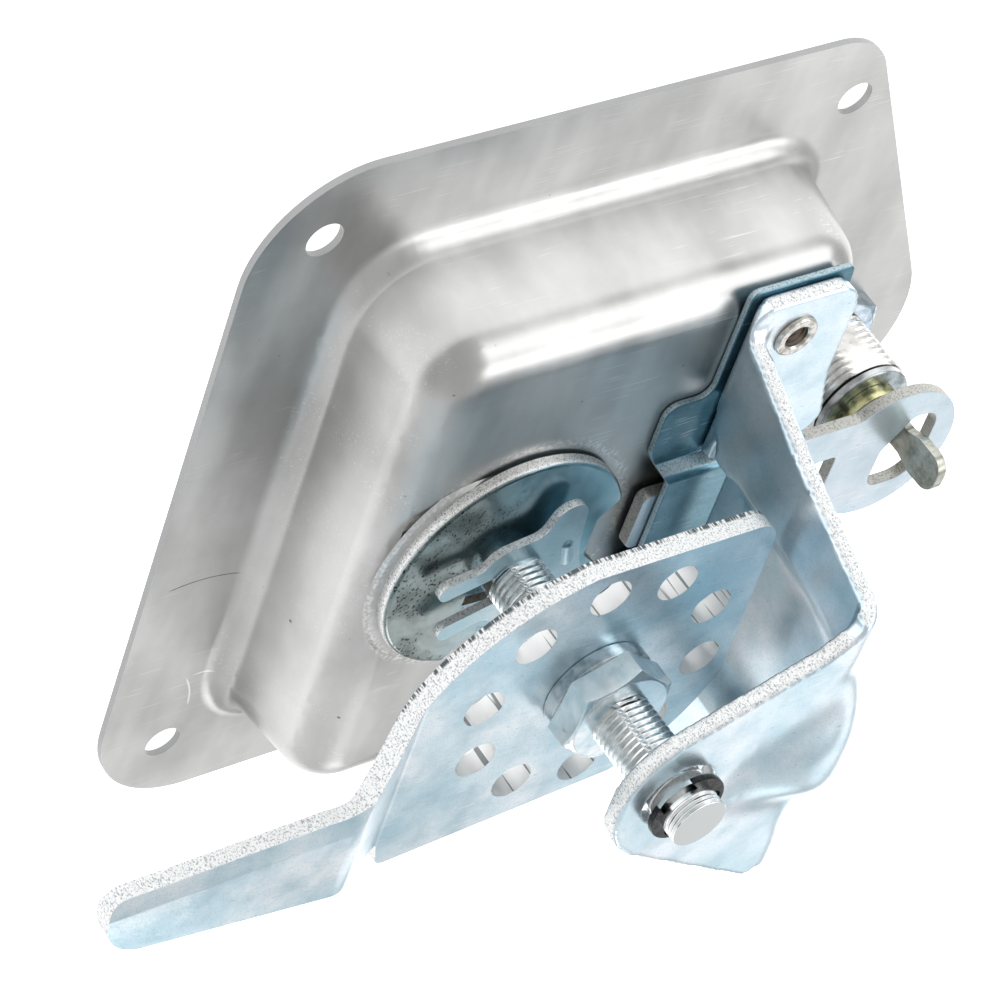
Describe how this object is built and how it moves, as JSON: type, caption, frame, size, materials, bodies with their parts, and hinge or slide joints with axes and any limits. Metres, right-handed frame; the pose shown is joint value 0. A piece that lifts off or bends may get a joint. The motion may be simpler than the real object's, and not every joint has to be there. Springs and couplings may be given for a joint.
{
  "type": "t-handle latch",
  "caption": "Recessed folding T-handle latch: drawn pan, spindle with a rod plate and lever arm under a support bracket, and a key lock.",
  "frame": {"origin": "centre of the rectangle of four fixing holes, on the face of the flange that seats on the door", "axes": "+Z out of the back along the spindle, +X along the pan from the spindle to the key lock, +Y across the pan"},
  "size_m": [0.1861, 0.1406, 0.0822],
  "materials": {
    "stainless": "drawn stainless sheet, dull brushed with soft smears",
    "zinc_plate": "blue-white zinc plate",
    "zinc_bracket": "blue-white zinc plate, faint scratches",
    "zinc_cam": "blue-white zinc plate, faint scratches, rough sheared edges",
    "rivet_steel": "bright zinc, pressed rim",
    "bush_brass": "turned brass",
    "spring_steel": "oiled spring steel",
    "zinc_thread": "bright zinc on a rolled thread",
    "pin_steel": "ground steel",
    "handle_chrome": "satin chrome on a zinc casting",
    "disc_zinc": "zinc plate, pitted and stained with dark dirt",
    "fork_steel": "zinc plate, bright sheared edge",
    "nut_zinc": "blue-white zinc plate",
    "washer_zinc": "blue-white zinc plate",
    "black_steel": "black oxide",
    "lock_nickel": "dull nickel on a zinc casting",
    "lock_nut_nickel": "dull nickel plate",
    "plug_brass": "machined brass",
    "lock_washer_zinc": "grey zinc plate",
    "yellow_zinc": "yellow passivated zinc plate",
    "tail_steel": "bright zinc plate, rough edge",
    "bolt_zinc": "zinc plate, bright sheared edge"
  },
  "bodies": {
    "case": {"pan": "stainless", "base_plate": "zinc_plate", "support_bracket": "zinc_bracket", "rivets": "rivet_steel", "shaft_bush": "bush_brass", "lock_body": "lock_nickel", "lock_nut": "lock_nut_nickel"},
    "spindle_group": {"spindle": "zinc_thread", "wave_washer": "spring_steel", "hinge_pin": "pin_steel", "lock_disc": "disc_zinc", "retaining_fork": "fork_steel", "cam_plate": "zinc_cam", "inner_nut": "nut_zinc", "spring_washer": "washer_zinc", "outer_nut": "nut_zinc", "e_clip": "black_steel"},
    "handle_group": {"handle": "handle_chrome"},
    "plug_group": {"lock_plug": "plug_brass", "lock_wafers": "plug_brass", "lock_washer": "lock_washer_zinc", "plug_retainer": "yellow_zinc", "lock_tail": "tail_steel"},
    "bolt_group": {"lock_bolt": "bolt_zinc"}
  },
  "joints": [
    {"name": "spindle_turn", "type": "hinge", "parent": "case", "child": "spindle_group", "pos_m": [-0.016, 0, 0], "axis": [0, 0, 1], "range_deg": [0, 85]},
    {"name": "handle_fold", "type": "hinge", "parent": "spindle_group", "child": "handle_group", "pos_m": [-0.016, 0, 0.0086], "axis": [0, 1, 0], "range_deg": [0, 90]},
    {"name": "lock_turn", "type": "hinge", "parent": "case", "child": "plug_group", "pos_m": [0.061, 0, 0], "axis": [0, 0, 1], "range_deg": [-180, 0]},
    {"name": "bolt_slide", "type": "slide", "parent": "case", "child": "bolt_group", "axis": [-1, 0, 0], "range_m": [0, 0.006]}
  ],
  "couplings": [
    {"joint": "lock_turn", "follows": "bolt_slide", "rad_per_m": -523.6}
  ]
}
